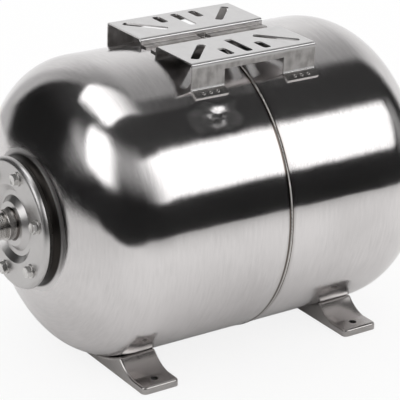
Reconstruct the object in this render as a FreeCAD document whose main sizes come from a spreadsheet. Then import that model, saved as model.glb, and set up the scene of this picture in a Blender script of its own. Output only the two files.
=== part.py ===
"""Horizontal well pressure tank, 50 litres, in stainless steel, with two slotted pump brackets on its crown.

Every piece is drawn about the tank's own axis: X runs along it with the cover flange towards -X, Z is up,
and x = 0 is the seam between the two deep-drawn halves. A common Placement then stands the tank on z = 0.
"""
import FreeCAD, Part
import math
import os
import re
import Sketcher
from FreeCAD import Rotation, Vector

doc = FreeCAD.newDocument("WellPressureTank")

# Driving dimensions in millimetres and degrees
SIZES = [
    ("shell_radius", "185", "outside of the drawn halves"),
    ("shell_wall", "1.5", "sheet of the drawn halves"),
    ("straight_length", "160", "seam to the start of a head's knuckle"),
    ("knuckle_radius", "80", "outside of the knuckle between side and crown"),
    ("crown_radius", "342", "outside of the dished end"),
    ("ground_clearance", "5", "floor to the underside of the shell"),
    ("seat_clearance", "0.1", "between a curved piece and the curved face that it seats on"),
    ("cut_allowance", "1", "how far a cutting profile runs past the faces that it cuts"),
    ("weld_width", "3", "root of the girth weld between the two halves"),
    ("weld_cap_width", "6", "outside of the girth weld"),
    ("weld_cap_height", "1.2", "how far the girth weld stands proud"),
    ("neck_radius", "75", "outside of the neck drawn out of the front head"),
    ("neck_fillet", "7", "fillet from the front head to its neck"),
    ("neck_weld_leg", "1.4", "fillet weld between neck and neck ring"),
    ("neck_length", "2.61", "straight of the neck, from its fillet to the neck ring"),
    ("flange_radius", "80.3", "outside of the cover"),
    ("cover_thickness", "6.5", "cover at its rim"),
    ("cover_edge_radius", "6", "rounding of the cover's front edge"),
    ("cover_sheet", "3", "cover under its pressed groove"),
    ("groove_depth", "6", "depth of the pressed groove"),
    ("groove_outer_radius", "48", "groove's outer cone at the front face"),
    ("groove_floor_radius", "40", "groove's floor, outer edge"),
    ("boss_foot_radius", "34", "central boss at the groove's floor"),
    ("boss_top_radius", "27", "central boss at the front face"),
    ("boss_setback", "2.4", "boss's rear face inside its front face"),
    ("groove_setback", "1.5", "groove's rear face outside its front face"),
    ("rim_gap", "0.7", "between cover and neck ring"),
    ("ring_thickness", "5.5", "neck ring"),
    ("ring_radius", "76.8", "outside of the neck ring, hidden behind the cover's rim"),
    ("ring_edge_radius", "0.3", "rounding of the neck ring's rear edge"),
    ("ring_bore_radius", "48.5", "opening of the neck ring"),
    ("lip_radius", "56", "bladder's clamped lip"),
    ("lip_thickness", "2.7", "bladder's clamped lip"),
    ("bolt_circle", "63.3", "radius of the bolt circle"),
    ("bolt_count", "6", "bolts in the cover"),
    ("bolt_phase", "13.6", "turn of the first bolt about the axis, from straight up"),
    ("bolt_radius", "4", "M8 shank"),
    ("bolt_length", "20.5", "shank under the head"),
    ("bolt_clearance", "0.5", "between shank and the holes in cover and neck ring"),
    ("head_flats", "13", "bolt head across flats"),
    ("head_height", "5.5", "bolt head"),
    ("head_chamfer", "0.4", "start of the corner chamfer inside the flats"),
    ("head_chamfer_angle", "30", "corner chamfer"),
    ("washer_radius", "8.5", "washer's outside"),
    ("washer_thickness", "1.6", "washer"),
    ("nut_radius", "6.6", "weld nut's outside"),
    ("nut_length", "9", "weld nut, closed at its inner end"),
    ("nut_cap", "1.5", "closed end of the weld nut"),
    ("thread_clearance", "0.1", "between a thread's crest and the hole that holds it"),
    ("nipple_radius", "16.6", "G1 pipe thread's outside"),
    ("nipple_bore", "13", "waterway through the nipple, radius"),
    ("nipple_reach", "32", "nipple in front of the cover's face"),
    ("collar_radius", "18.6", "plain collar at the nipple's root"),
    ("collar_length", "11", "plain collar at the nipple's root"),
    ("relief_depth", "1.6", "undercut between collar and thread"),
    ("relief_width", "2", "undercut between collar and thread"),
    ("nipple_spigot", "1.5", "nipple behind the boss"),
    ("nipple_chamfer", "1.5", "lead-in of the nipple's thread"),
    ("nipple_weld_leg", "2", "fillet weld at the nipple's root"),
    ("bladder_wall", "2.5", "rubber bladder"),
    ("bladder_neck", "47.5", "outside of the bladder's neck"),
    ("bladder_radius", "120", "outside of the filled bladder"),
    ("shoulder_setback", "26.5", "cover's front face to the bladder's shoulder"),
    ("bladder_gap", "32", "bladder's closed end to the outside of the rear head"),
    ("port_radius", "10", "air valve's socket in the rear head"),
    ("port_height", "6", "socket outside of the rear head"),
    ("port_depth", "2", "socket inside of the rear head"),
    ("port_weld_leg", "2", "fillet weld round the socket"),
    ("stem_thread", "6", "valve's screwed shank, radius"),
    ("stem_flats", "14", "valve's hexagon across flats"),
    ("stem_hex_height", "5", "valve's hexagon"),
    ("stem_radius", "3.9", "valve's capped stem"),
    ("stem_length", "14", "valve's capped stem"),
    ("stem_bore", "2.5", "air passage, radius"),
    ("core_length", "19", "valve core"),
    ("core_radius", "1.4", "valve core's spring housing"),
    ("core_plug", "4.5", "valve core's wider, screwed plug"),
    ("core_head", "1.5", "valve core's pin in front of the plug"),
    ("core_pin_radius", "1", "valve core's pin"),
    ("seal_thickness", "1.5", "sealing washer under the hexagon"),
    ("seal_inset", "1", "sealing washer inside the socket's edge"),
    ("cap_radius", "5.6", "valve cap's outside"),
    ("cap_length", "14.5", "valve cap"),
    ("cap_wall", "1.5", "closed end of the valve cap"),
    ("foot_inset", "9", "middle of a foot to the end of the straight side"),
    ("foot_width", "51", "foot along the tank"),
    ("foot_length", "287", "foot across the tank"),
    ("foot_sheet", "2", "pressed sheet of a foot"),
    ("pad_height", "9.3", "floor to the top of a foot's bolting pad"),
    ("pad_length", "25", "flat part of the bolting pad"),
    ("pad_slope", "8", "angle of the crease where the pad turns up"),
    ("crease_radius", "6", "rounding of that crease"),
    ("foot_hollow_radius", "48", "hollow curve from the pad to the crest"),
    ("foot_crest_radius", "5", "crest where the foot leaves the shell"),
    ("foot_corner_radius", "6", "upright corners of a foot"),
    ("foot_edge_radius", "3.5", "rounded upper edges of a foot"),
    ("foot_hole_setback", "16.5", "end of a foot to its hole"),
    ("foot_hole_radius", "4.5", "holes for the anchoring bolts"),
    ("plate_height", "9.3", "crown of the shell to the top of a pump bracket"),
    ("plate_length", "178", "bracket along the tank"),
    ("plate_shift", "2.5", "brackets' middle behind the seam"),
    ("plate_inner_edge", "16", "tank's middle plane to a bracket's inner leg"),
    ("plate_outer_edge", "94", "tank's middle plane to a bracket's outer leg"),
    ("plate_sheet", "2", "bent sheet of a bracket"),
    ("plate_bend_radius", "3.5", "outside of the bends"),
    ("tab_length", "11", "welding tabs along the shell"),
    ("spot_pitch", "10", "between the three spot welds of a tab"),
    ("spot_setback", "6", "outside of a leg to the spot welds, along the shell"),
    ("spot_ball_radius", "4.5", "electrode's tip, a ball that leaves a dimple at each spot weld"),
    ("spot_depth", "0.6", "dimple of a spot weld"),
    ("weld_relief", "14", "notch in a bracket's inner leg where it crosses the girth weld"),
    ("leg_width", "46", "each half of the outer leg"),
    ("window_drop", "12.6", "bracket's top to the window in its outer leg"),
    ("slot_width", "10.5", "mounting slots"),
    ("slot_corner_radius", "3.5", "corners of the mounting slots"),
    ("slot_pitch", "26.5", "middle slot to the short ones beside it"),
    ("long_slot_length", "49", "middle slot"),
    ("long_slot_start", "19", "inner edge to the middle slot"),
    ("short_slot_length", "25", "short slots"),
    ("diagonal_length", "57", "slanted slots"),
    ("diagonal_angle", "47.5", "slanted slots, from the tank's axis"),
    ("diagonal_setback", "32.2", "bracket's end to the slanted slots' middles, along the tank"),
    ("diagonal_start", "42", "inner edge to the slanted slots' middles"),
]

# Places that follow from the driving dimensions
CROWN_RUN = "sqrt((crown_radius - knuckle_radius)^2 - (shell_radius - knuckle_radius)^2)"
CROWN_CENTRE = f"(straight_length - {CROWN_RUN})"
POLE = f"({CROWN_CENTRE} + crown_radius)"
FILLET_RUN = "sqrt((crown_radius + neck_fillet)^2 - (neck_radius + neck_fillet)^2)"
FILLET_CENTRE = f"({CROWN_CENTRE} + {FILLET_RUN})"
PLACES = [
    ("face_reach", f"={FILLET_CENTRE} + neck_length + ring_thickness + rim_gap + cover_thickness",
     "seam to the cover's front face"),
    ("shoulder_reach", "=face_reach - shoulder_setback", "seam to the bladder's shoulder"),
    ("bladder_rear", f"={POLE} - bladder_gap", "seam to the bladder's closed end"),
    ("foot_spacing", "=2 * (straight_length - foot_inset)", "between the middles of the two feet"),
    ("foot_hole_spacing", "=foot_length - 2 * foot_hole_setback", "between the two holes of a foot"),
    ("diagonal_offset", "=plate_length / 2 - diagonal_setback", "bracket's middle to the slanted slots"),
]
sheet = doc.addObject("Spreadsheet::Sheet", "Sizes")
for row, (alias, content, meaning) in enumerate(SIZES + PLACES, start=1):
    sheet.set(f"A{row}", meaning)
    sheet.set(f"B{row}", content)
    sheet.setAlias(f"B{row}", alias)
doc.recompute()

pieces = []
CLOSE = 0.01      # places nearer than this are the same, when edges are picked
AXIS_LINE = 10    # drawn length of a sketch's own turning axis


def bound(text):
    """The expression with every size's alias led by the name of the sheet."""
    return re.sub(r"\b([a-z]+_[a-z_]+)\b", r"Sizes.\1", str(text))


def value(text):
    """The number that an expression of sizes gives."""
    return float(sheet.evalExpression(bound(text)))


def tie(thing, field, text):
    """Set a property from an expression and keep it bound to the sheet."""
    thing.setExpression(field, bound(text))


def new_body(label, turn="0"):
    """A body drawn about the tank's axis and stood on the floor, turned about that axis if asked."""
    body = doc.addObject("PartDesign::Body", label)
    body.Label = label
    stand(body, turn)
    return body


def stand(thing, turn="0"):
    """Stand a piece that is drawn about the tank's axis on the floor, and list it for the export."""
    thing.Placement = FreeCAD.Placement(Vector(), Rotation(Vector(1, 0, 0), value(turn)))
    tie(thing, "Placement.Base.x", SEAM_X)
    tie(thing, "Placement.Base.z", AXIS_HEIGHT)
    if turn != "0":
        tie(thing, "Placement.Rotation.Angle", turn)
    pieces.append(thing)


def origin_part(body, role):
    return next(part for part in body.Origin.OriginFeatures if part.Role == role)


def new_sketch(body, name, plane):
    sketch = body.newObject("Sketcher::SketchObject", name)
    sketch.AttachmentSupport = (origin_part(body, plane), [""])
    sketch.MapMode = "FlatFace"
    return sketch


def pin(sketch, edge, end, across, up):
    """Hold one end of a sketch's edge at a place given by two expressions."""
    for kind, axis, text in (("DistanceX", -2, across), ("DistanceY", -1, up)):
        if str(text) == "0":
            sketch.addConstraint(Sketcher.Constraint("PointOnObject", edge, end, axis))
        else:
            index = sketch.addConstraint(Sketcher.Constraint(kind, -1, 1, edge, end, value(text)))
            tie(sketch, f"Constraints[{index}]", text)


def draw(sketch, corners):
    """Closed outline through corners (across, up) in expressions. A corner (across, up, radius, turn) is
    reached by an arc of that radius, to the left for a turn of 1 and to the right for -1."""
    spots = [Vector(value(corner[0]), value(corner[1]), 0) for corner in corners]
    edges = []
    for index, corner in enumerate(corners):
        start, end = spots[index - 1], spots[index]
        if len(corner) == 2:
            edges.append((sketch.addGeometry(Part.LineSegment(start, end), False), 1, 2))
            continue
        radius, turn = value(corner[2]), corner[3]
        chord = end - start
        rise = math.sqrt(max(radius ** 2 - chord.Length ** 2 / 4, 0))
        centre = (start + end) / 2 + Vector(-chord.y, chord.x, 0).normalize() * rise * turn
        angles = [math.atan2((spot - centre).y, (spot - centre).x) for spot in (start, end)]
        circle = Part.Circle(centre, Vector(0, 0, 1), radius)
        arc = Part.ArcOfCircle(circle, *(angles if turn > 0 else reversed(angles)))
        edge = sketch.addGeometry(arc, False)
        edges.append((edge, 1, 2) if turn > 0 else (edge, 2, 1))
        bend = sketch.addConstraint(Sketcher.Constraint("Radius", edge, radius))
        tie(sketch, f"Constraints[{bend}]", corner[2])
    for index, (edge, first, last) in enumerate(edges):
        following, start, _ = edges[(index + 1) % len(edges)]
        sketch.addConstraint(Sketcher.Constraint("Coincident", edge, last, following, start))
        pin(sketch, edge, last, *corners[index][:2])


def outline(body, name, plane, corners):
    sketch = new_sketch(body, name, plane)
    draw(sketch, corners)
    return sketch


def turned(body, name, corners, kind="Revolution", height=None):
    """A profile in X and radius, turned about the tank's axis or about a parallel line at a height."""
    sketch = outline(body, name + "Profile", "XZ_Plane", corners)
    feature = body.newObject(f"PartDesign::{kind}", name)
    feature.Profile = sketch
    if height is None:
        feature.ReferenceAxis = (sketch, ["H_Axis"])
    else:
        start, end = Vector(0, value(height), 0), Vector(AXIS_LINE, value(height), 0)
        line = sketch.addGeometry(Part.LineSegment(start, end), True)
        sketch.addConstraint(Sketcher.Constraint("Horizontal", line))
        sketch.addConstraint(Sketcher.Constraint("PointOnObject", line, 1, -2))
        lift = sketch.addConstraint(Sketcher.Constraint("DistanceY", -1, 1, line, 1, value(height)))
        tie(sketch, f"Constraints[{lift}]", height)
        sketch.addConstraint(Sketcher.Constraint("DistanceX", line, 1, line, 2, AXIS_LINE))
        feature.ReferenceAxis = (sketch, ["Axis0"])
    feature.Angle = 360
    return feature


def padded(body, name, sketch, length, both_ways=False, backwards=False):
    feature = body.newObject("PartDesign::Pad", name)
    feature.Profile = sketch
    feature.SideType = "Symmetric" if both_ways else "One side"
    feature.Reversed = backwards
    tie(feature, "Length", length)
    return feature


def cut_through(body, name, sketch, backwards=False):
    feature = body.newObject("PartDesign::Pocket", name)
    feature.Profile = sketch
    feature.Type = "ThroughAll"
    feature.Reversed = backwards
    return feature


def round_edges(body, name, base, radius, wanted):
    """Fillet the edges of a feature that a test on the edge picks."""
    doc.recompute()
    names = [f"Edge{number}" for number, edge in enumerate(base.Shape.Edges, start=1) if wanted(edge)]
    feature = body.newObject("PartDesign::Fillet", name)
    feature.Base = (base, names)
    tie(feature, "Radius", radius)
    return feature


def round_the_circle(body, name, features):
    """The features repeated on the bolt circle."""
    pattern = body.newObject("PartDesign::PolarPattern", name)
    pattern.Originals = features
    pattern.Axis = (origin_part(body, "X_Axis"), [""])
    pattern.Angle = 360
    tie(pattern, "Occurrences", "bolt_count")
    body.Tip = pattern
    return pattern


def hexagon(sketch, height, flats):
    """A hexagon across flats about a point on the vertical axis, with a corner straight up."""
    corner = f"({flats} / sqrt(3))"
    draw(sketch, [
        (f"{corner} * sin({60 * step})", f"{height} + {corner} * cos({60 * step})") for step in range(6)])


# Places that follow from the sizes
AXIS_HEIGHT = "(shell_radius + ground_clearance)"
COVER_BACK = "(face_reach - cover_thickness)"
RING_FRONT = f"({COVER_BACK} - rim_gap)"
RING_BACK = f"({RING_FRONT} - ring_thickness)"
PORT_END = f"({POLE} + port_height)"
HEX_START = f"({PORT_END} + seal_thickness)"
HEX_END = f"({HEX_START} + stem_hex_height)"
STEM_END = f"({HEX_END} + stem_length)"
CAP_END = f"({STEM_END} + cap_wall + seat_clearance)"
SEAM_X = f"((face_reach + nipple_reach - {CAP_END}) / 2)"


def crown_x(radius, depth="0"):
    """Reach of a dished end from the seam, at a radius from the axis and a depth under its outside."""
    return f"({CROWN_CENTRE} + sqrt((crown_radius - {depth})^2 - ({radius})^2))"


def knuckle_end(depth):
    """Where knuckle and crown meet, as reach and radius."""
    share = f"(crown_radius - {depth}) / (crown_radius - knuckle_radius)"
    return f"({CROWN_CENTRE} + {share} * {CROWN_RUN})", f"({share} * (shell_radius - knuckle_radius))"


# Drawn halves of the shell, each with a straight side, a knuckle and a dished end
def shell_half(label, side, opening):
    """Half of the shell on one side of the seam. opening gives the points round the hole in its head."""
    body = new_body(label)
    sign = "-1 * " if side < 0 else ""
    outer, inner = knuckle_end("0"), knuckle_end("shell_wall")
    straight = f"{sign}straight_length"
    seam = f"{sign}weld_width / 2"
    turned(body, "Wall", [
        (seam, "shell_radius"),
        (straight, "shell_radius"),
        (sign + outer[0], outer[1], "knuckle_radius", -side),
        *opening(sign, side),
        (sign + inner[0], inner[1], "crown_radius - shell_wall", side),
        (straight, "shell_radius - shell_wall", "knuckle_radius - shell_wall", side),
        (seam, "shell_radius - shell_wall"),
    ])


def neck_opening(sign, side):
    """Front head drawn out into the short neck that carries the flange."""
    centre = sign + FILLET_CENTRE

    def fillet_foot(depth):
        share = f"(crown_radius - {depth}) / (crown_radius + neck_fillet)"
        return f"{sign}({CROWN_CENTRE} + {share} * {FILLET_RUN})", f"({share} * (neck_radius + neck_fillet))"

    outer, inner = fillet_foot("0"), fillet_foot("shell_wall")
    return [
        (outer[0], outer[1], "crown_radius", -side),
        (centre, "neck_radius", "neck_fillet", side),
        (sign + RING_BACK, "neck_radius"),
        (sign + RING_BACK, "neck_radius - shell_wall"),
        (centre, "neck_radius - shell_wall"),
        (inner[0], inner[1], "neck_fillet + shell_wall", -side),
    ]


def port_opening(sign, side):
    """Rear head pierced for the air valve's socket."""
    return [
        (sign + crown_x("port_radius"), "port_radius", "crown_radius", -side),
        (sign + crown_x("port_radius", "shell_wall"), "port_radius"),
    ]


shell_half("front_shell", -1, neck_opening)
shell_half("rear_shell", 1, port_opening)

# Girth weld, its root between the two halves and its cap proud of them
girth = new_body("girth_weld")
cap_bulge = "((weld_cap_width / 2)^2 + weld_cap_height^2) / (2 * weld_cap_height)"
turned(girth, "Bead", [
    ("weld_width / 2", "shell_radius - shell_wall"),
    ("weld_width / 2", "shell_radius"),
    ("weld_cap_width / 2", "shell_radius"),
    ("-1 * weld_cap_width / 2", "shell_radius", cap_bulge, 1),
    ("-1 * weld_width / 2", "shell_radius"),
    ("-1 * weld_width / 2", "shell_radius - shell_wall"),
])

# Neck ring, welded on the neck: it carries the cover and the bladder's lip
ring = new_body("neck_ring", "bolt_phase")
LIP_SEAT = f"({COVER_BACK} - lip_thickness)"
ring_plate = turned(ring, "Plate", [
    (f"-1 * {RING_BACK}", "ring_bore_radius"),
    (f"-1 * {RING_BACK}", "ring_radius - ring_edge_radius"),
    (f"-1 * ({RING_BACK} + ring_edge_radius)", "ring_radius", "ring_edge_radius", 1),
    (f"-1 * {RING_FRONT}", "ring_radius"),
    (f"-1 * {RING_FRONT}", "lip_radius + seat_clearance"),
    (f"-1 * {LIP_SEAT}", "lip_radius + seat_clearance"),
    (f"-1 * {LIP_SEAT}", "ring_bore_radius"),
])


def bolt_holes(body, start, end):
    """Holes on the bolt circle through a plate that lies between two reaches in front of the seam."""
    hole = turned(body, "Hole", [
        (f"-1 * ({start} - cut_allowance)", "bolt_circle"),
        (f"-1 * ({start} - cut_allowance)", "bolt_circle + bolt_radius + bolt_clearance"),
        (f"-1 * ({end} + cut_allowance)", "bolt_circle + bolt_radius + bolt_clearance"),
        (f"-1 * ({end} + cut_allowance)", "bolt_circle"),
    ], "Groove", "bolt_circle")
    round_the_circle(body, "Holes", [hole])


bolt_holes(ring, RING_BACK, RING_FRONT)

# Fillet weld in the corner between neck and ring
neck_weld = new_body("neck_weld")
turned(neck_weld, "Bead", [
    (f"-1 * {RING_BACK}", "neck_radius + seat_clearance"),
    (f"-1 * {RING_BACK}", "neck_radius + neck_weld_leg"),
    (f"-1 * ({RING_BACK} - neck_weld_leg)", "neck_radius + seat_clearance"),
])

# Cover flange: pressed plate with a rounded rim, a ring groove and a flat boss for the nipple
cover = new_body("cover_flange", "bolt_phase")
NIPPLE_HOLE = "nipple_radius + seat_clearance"
FACE = "-1 * face_reach"
GROOVE_FLOOR = "-1 * (face_reach - groove_depth)"
GROOVE_BACK = "-1 * (face_reach - groove_depth - cover_sheet)"
cover_lean = "(groove_outer_radius - groove_floor_radius) / groove_depth"
turned(cover, "Plate", [
    (FACE, NIPPLE_HOLE),
    ("-1 * (face_reach - cover_sheet)", NIPPLE_HOLE),
    ("-1 * (face_reach - cover_sheet)", "boss_top_radius - boss_setback"),
    (GROOVE_BACK, "boss_foot_radius - boss_setback"),
    (GROOVE_BACK, "groove_floor_radius + groove_setback"),
    (f"-1 * {COVER_BACK}", "groove_floor_radius + groove_setback"
     f" + (cover_sheet + groove_depth - cover_thickness) * {cover_lean}"),
    (f"-1 * {COVER_BACK}", "flange_radius"),
    ("-1 * (face_reach - cover_edge_radius)", "flange_radius"),
    (FACE, "flange_radius - cover_edge_radius", "cover_edge_radius", 1),
    (FACE, "groove_outer_radius"),
    (GROOVE_FLOOR, "groove_floor_radius"),
    (GROOVE_FLOOR, "boss_foot_radius"),
    (FACE, "boss_top_radius"),
])
bolt_holes(cover, COVER_BACK, "face_reach")

# Connection nipple, turned with a collar that seats on the boss and a spigot that passes through it
nipple = new_body("connection_nipple")
NIPPLE_END = "-1 * (face_reach + nipple_reach)"
turned(nipple, "Tube", [
    ("-1 * (face_reach - cover_sheet - nipple_spigot)", "nipple_bore"),
    ("-1 * (face_reach - cover_sheet - nipple_spigot)", "nipple_radius"),
    (FACE, "nipple_radius"),
    (FACE, "collar_radius"),
    ("-1 * (face_reach + collar_length - nipple_chamfer / 2)", "collar_radius"),
    ("-1 * (face_reach + collar_length)", "collar_radius - nipple_chamfer / 2"),
    ("-1 * (face_reach + collar_length)", "nipple_radius - relief_depth"),
    ("-1 * (face_reach + collar_length + relief_width)", "nipple_radius - relief_depth"),
    ("-1 * (face_reach + collar_length + relief_width + relief_depth)", "nipple_radius"),
    ("-1 * (face_reach + nipple_reach - nipple_chamfer)", "nipple_radius"),
    (NIPPLE_END, "nipple_radius - nipple_chamfer"),
    (NIPPLE_END, "nipple_bore"),
])

# Fillet weld round the nipple's collar
nipple_weld = new_body("nipple_weld")
turned(nipple_weld, "Bead", [
    (FACE, "collar_radius"),
    ("-1 * (face_reach + nipple_weld_leg)", "collar_radius"),
    (FACE, "collar_radius + nipple_weld_leg", "nipple_weld_leg * sqrt(2)", 1),
])

# Rubber bladder, its lip clamped between cover and ring, its bag inside the shell
bladder = new_body("bladder")
BAG_TURN = "(bladder_radius - bladder_neck)"
SHOULDER = "-1 * shoulder_reach"
turned(bladder, "Bag", [
    (f"-1 * {COVER_BACK}", "bladder_neck - bladder_wall"),
    (f"-1 * {COVER_BACK}", "lip_radius"),
    (f"-1 * {LIP_SEAT}", "lip_radius"),
    (f"-1 * {LIP_SEAT}", "bladder_neck"),
    (SHOULDER, "bladder_neck"),
    (f"{SHOULDER} + {BAG_TURN}", "bladder_radius", BAG_TURN, -1),
    ("bladder_rear - bladder_radius", "bladder_radius"),
    ("bladder_rear", "0", "bladder_radius", -1),
    ("bladder_rear - bladder_wall", "0"),
    ("bladder_rear - bladder_radius", "bladder_radius - bladder_wall", "bladder_radius - bladder_wall", 1),
    (f"{SHOULDER} + {BAG_TURN}", "bladder_radius - bladder_wall"),
    (f"{SHOULDER} + bladder_wall", "bladder_neck", f"{BAG_TURN} - bladder_wall", 1),
    (f"{SHOULDER} + bladder_wall", "bladder_neck - bladder_wall"),
])

# Hexagon bolts, washers and blind weld nuts, each drawn once and repeated on the bolt circle
bolts = new_body("flange_bolts", "bolt_phase")
HEAD_SEAT = "(face_reach + washer_thickness)"
HEAD_TOP = f"({HEAD_SEAT} + head_height)"
CHAMFER_INNER = "(head_flats / 2 - head_chamfer)"
CHAMFER_OUTER = "(head_flats / sqrt(3) + cut_allowance)"
hex_sketch = new_sketch(bolts, "HeadProfile", "YZ_Plane")
tie(hex_sketch, "AttachmentOffset.Base.z", f"-1 * {HEAD_SEAT}")
hexagon(hex_sketch, "bolt_circle", "head_flats")
head = padded(bolts, "Head", hex_sketch, "head_height", backwards=True)
shank = turned(bolts, "Shank", [
    (f"-1 * ({HEAD_SEAT} + head_height / 2)", "bolt_circle"),
    (f"-1 * ({HEAD_SEAT} + head_height / 2)", "bolt_circle + bolt_radius"),
    (f"-1 * ({HEAD_SEAT} - bolt_length)", "bolt_circle + bolt_radius"),
    (f"-1 * ({HEAD_SEAT} - bolt_length)", "bolt_circle"),
], "Revolution", "bolt_circle")
crown_cut = turned(bolts, "CornerChamfer", [
    (f"-1 * ({HEAD_TOP} + cut_allowance)", f"bolt_circle + {CHAMFER_INNER}"),
    (f"-1 * {HEAD_TOP}", f"bolt_circle + {CHAMFER_INNER}"),
    (f"-1 * ({HEAD_TOP} - ({CHAMFER_OUTER} - {CHAMFER_INNER}) * tan(head_chamfer_angle))",
     f"bolt_circle + {CHAMFER_OUTER}"),
    (f"-1 * ({HEAD_TOP} + cut_allowance)", f"bolt_circle + {CHAMFER_OUTER}"),
], "Groove", "bolt_circle")
round_the_circle(bolts, "Bolts", [head, shank, crown_cut])

washers = new_body("flange_washers", "bolt_phase")
washer = turned(washers, "Washer", [
    (f"-1 * {HEAD_SEAT}", "bolt_circle + bolt_radius + thread_clearance"),
    (f"-1 * {HEAD_SEAT}", "bolt_circle + washer_radius"),
    (FACE, "bolt_circle + washer_radius"),
    (FACE, "bolt_circle + bolt_radius + thread_clearance"),
], "Revolution", "bolt_circle")
round_the_circle(washers, "Washers", [washer])

nuts = new_body("weld_nuts", "bolt_phase")
nut = turned(nuts, "Nut", [
    (f"-1 * {RING_BACK}", "bolt_circle + bolt_radius + thread_clearance"),
    (f"-1 * {RING_BACK}", "bolt_circle + nut_radius"),
    (f"-1 * ({RING_BACK} - nut_length)", "bolt_circle + nut_radius"),
    (f"-1 * ({RING_BACK} - nut_length)", "bolt_circle"),
    (f"-1 * ({RING_BACK} - nut_length + nut_cap)", "bolt_circle"),
    (f"-1 * ({RING_BACK} - nut_length + nut_cap)", "bolt_circle + bolt_radius + thread_clearance"),
], "Revolution", "bolt_circle")
round_the_circle(nuts, "Nuts", [nut])

# Air valve in the rear head: welded socket, seal, screwed body, core and cap
socket = new_body("valve_socket")
SOCKET_BACK = f"({crown_x('port_radius', 'shell_wall')} - port_depth)"
turned(socket, "Socket", [
    (SOCKET_BACK, "stem_thread + thread_clearance"),
    (SOCKET_BACK, "port_radius - thread_clearance"),
    (PORT_END, "port_radius - thread_clearance"),
    (PORT_END, "stem_thread + thread_clearance"),
])
socket_weld = new_body("valve_socket_weld")
weld_foot = crown_x("port_radius + port_weld_leg")
turned(socket_weld, "Bead", [
    (crown_x("port_radius") + " + seat_clearance", "port_radius - thread_clearance"),
    (crown_x("port_radius") + " + port_weld_leg", "port_radius - thread_clearance"),
    (weld_foot + " + seat_clearance", "port_radius + port_weld_leg"),
])
seal = new_body("valve_seal")
turned(seal, "Washer", [
    (PORT_END, "stem_thread + thread_clearance"),
    (PORT_END, "port_radius - seal_inset"),
    (HEX_START, "port_radius - seal_inset"),
    (HEX_START, "stem_thread + thread_clearance"),
])
stem = new_body("valve_body")
stem_hex = new_sketch(stem, "HexProfile", "YZ_Plane")
tie(stem_hex, "AttachmentOffset.Base.z", HEX_START)
hexagon(stem_hex, "0", "stem_flats")
padded(stem, "Hexagon", stem_hex, "stem_hex_height")
turned(stem, "Stem", [
    (SOCKET_BACK, "0"),
    (SOCKET_BACK, "stem_thread"),
    (f"{HEX_START} + stem_hex_height / 2", "stem_thread"),
    (f"{HEX_START} + stem_hex_height / 2", "stem_radius"),
    (STEM_END, "stem_radius"),
    (STEM_END, "0"),
])
turned(stem, "AirPassage", [
    (f"{SOCKET_BACK} - cut_allowance", "0"),
    (f"{SOCKET_BACK} - cut_allowance", "stem_bore"),
    (f"{STEM_END} + cut_allowance", "stem_bore"),
    (f"{STEM_END} + cut_allowance", "0"),
], "Groove")
core = new_body("valve_core")
CORE_END = f"({STEM_END} - seat_clearance)"
CORE_SEAT = "(stem_bore - seat_clearance)"
turned(core, "Core", [
    (f"{CORE_END} - core_length", "0"),
    (f"{CORE_END} - core_length", "core_radius"),
    (f"{CORE_END} - core_head - core_plug", "core_radius"),
    (f"{CORE_END} - core_head - core_plug + ({CORE_SEAT} - core_radius)", CORE_SEAT),
    (f"{CORE_END} - core_head", CORE_SEAT),
    (f"{CORE_END} - core_head", "core_pin_radius"),
    (CORE_END, "core_pin_radius"),
    (CORE_END, "0"),
])
cap = new_body("valve_cap")
CAP_START = f"({CAP_END} - cap_length)"
turned(cap, "Cap", [
    (CAP_START, "stem_radius + thread_clearance"),
    (CAP_START, "cap_radius"),
    (f"{CAP_END} - cap_wall", "cap_radius"),
    (CAP_END, "cap_radius - cap_wall", "cap_wall", 1),
    (CAP_END, "0"),
    (f"{CAP_END} - cap_wall", "0"),
    (f"{CAP_END} - cap_wall", "stem_radius + thread_clearance"),
])


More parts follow.
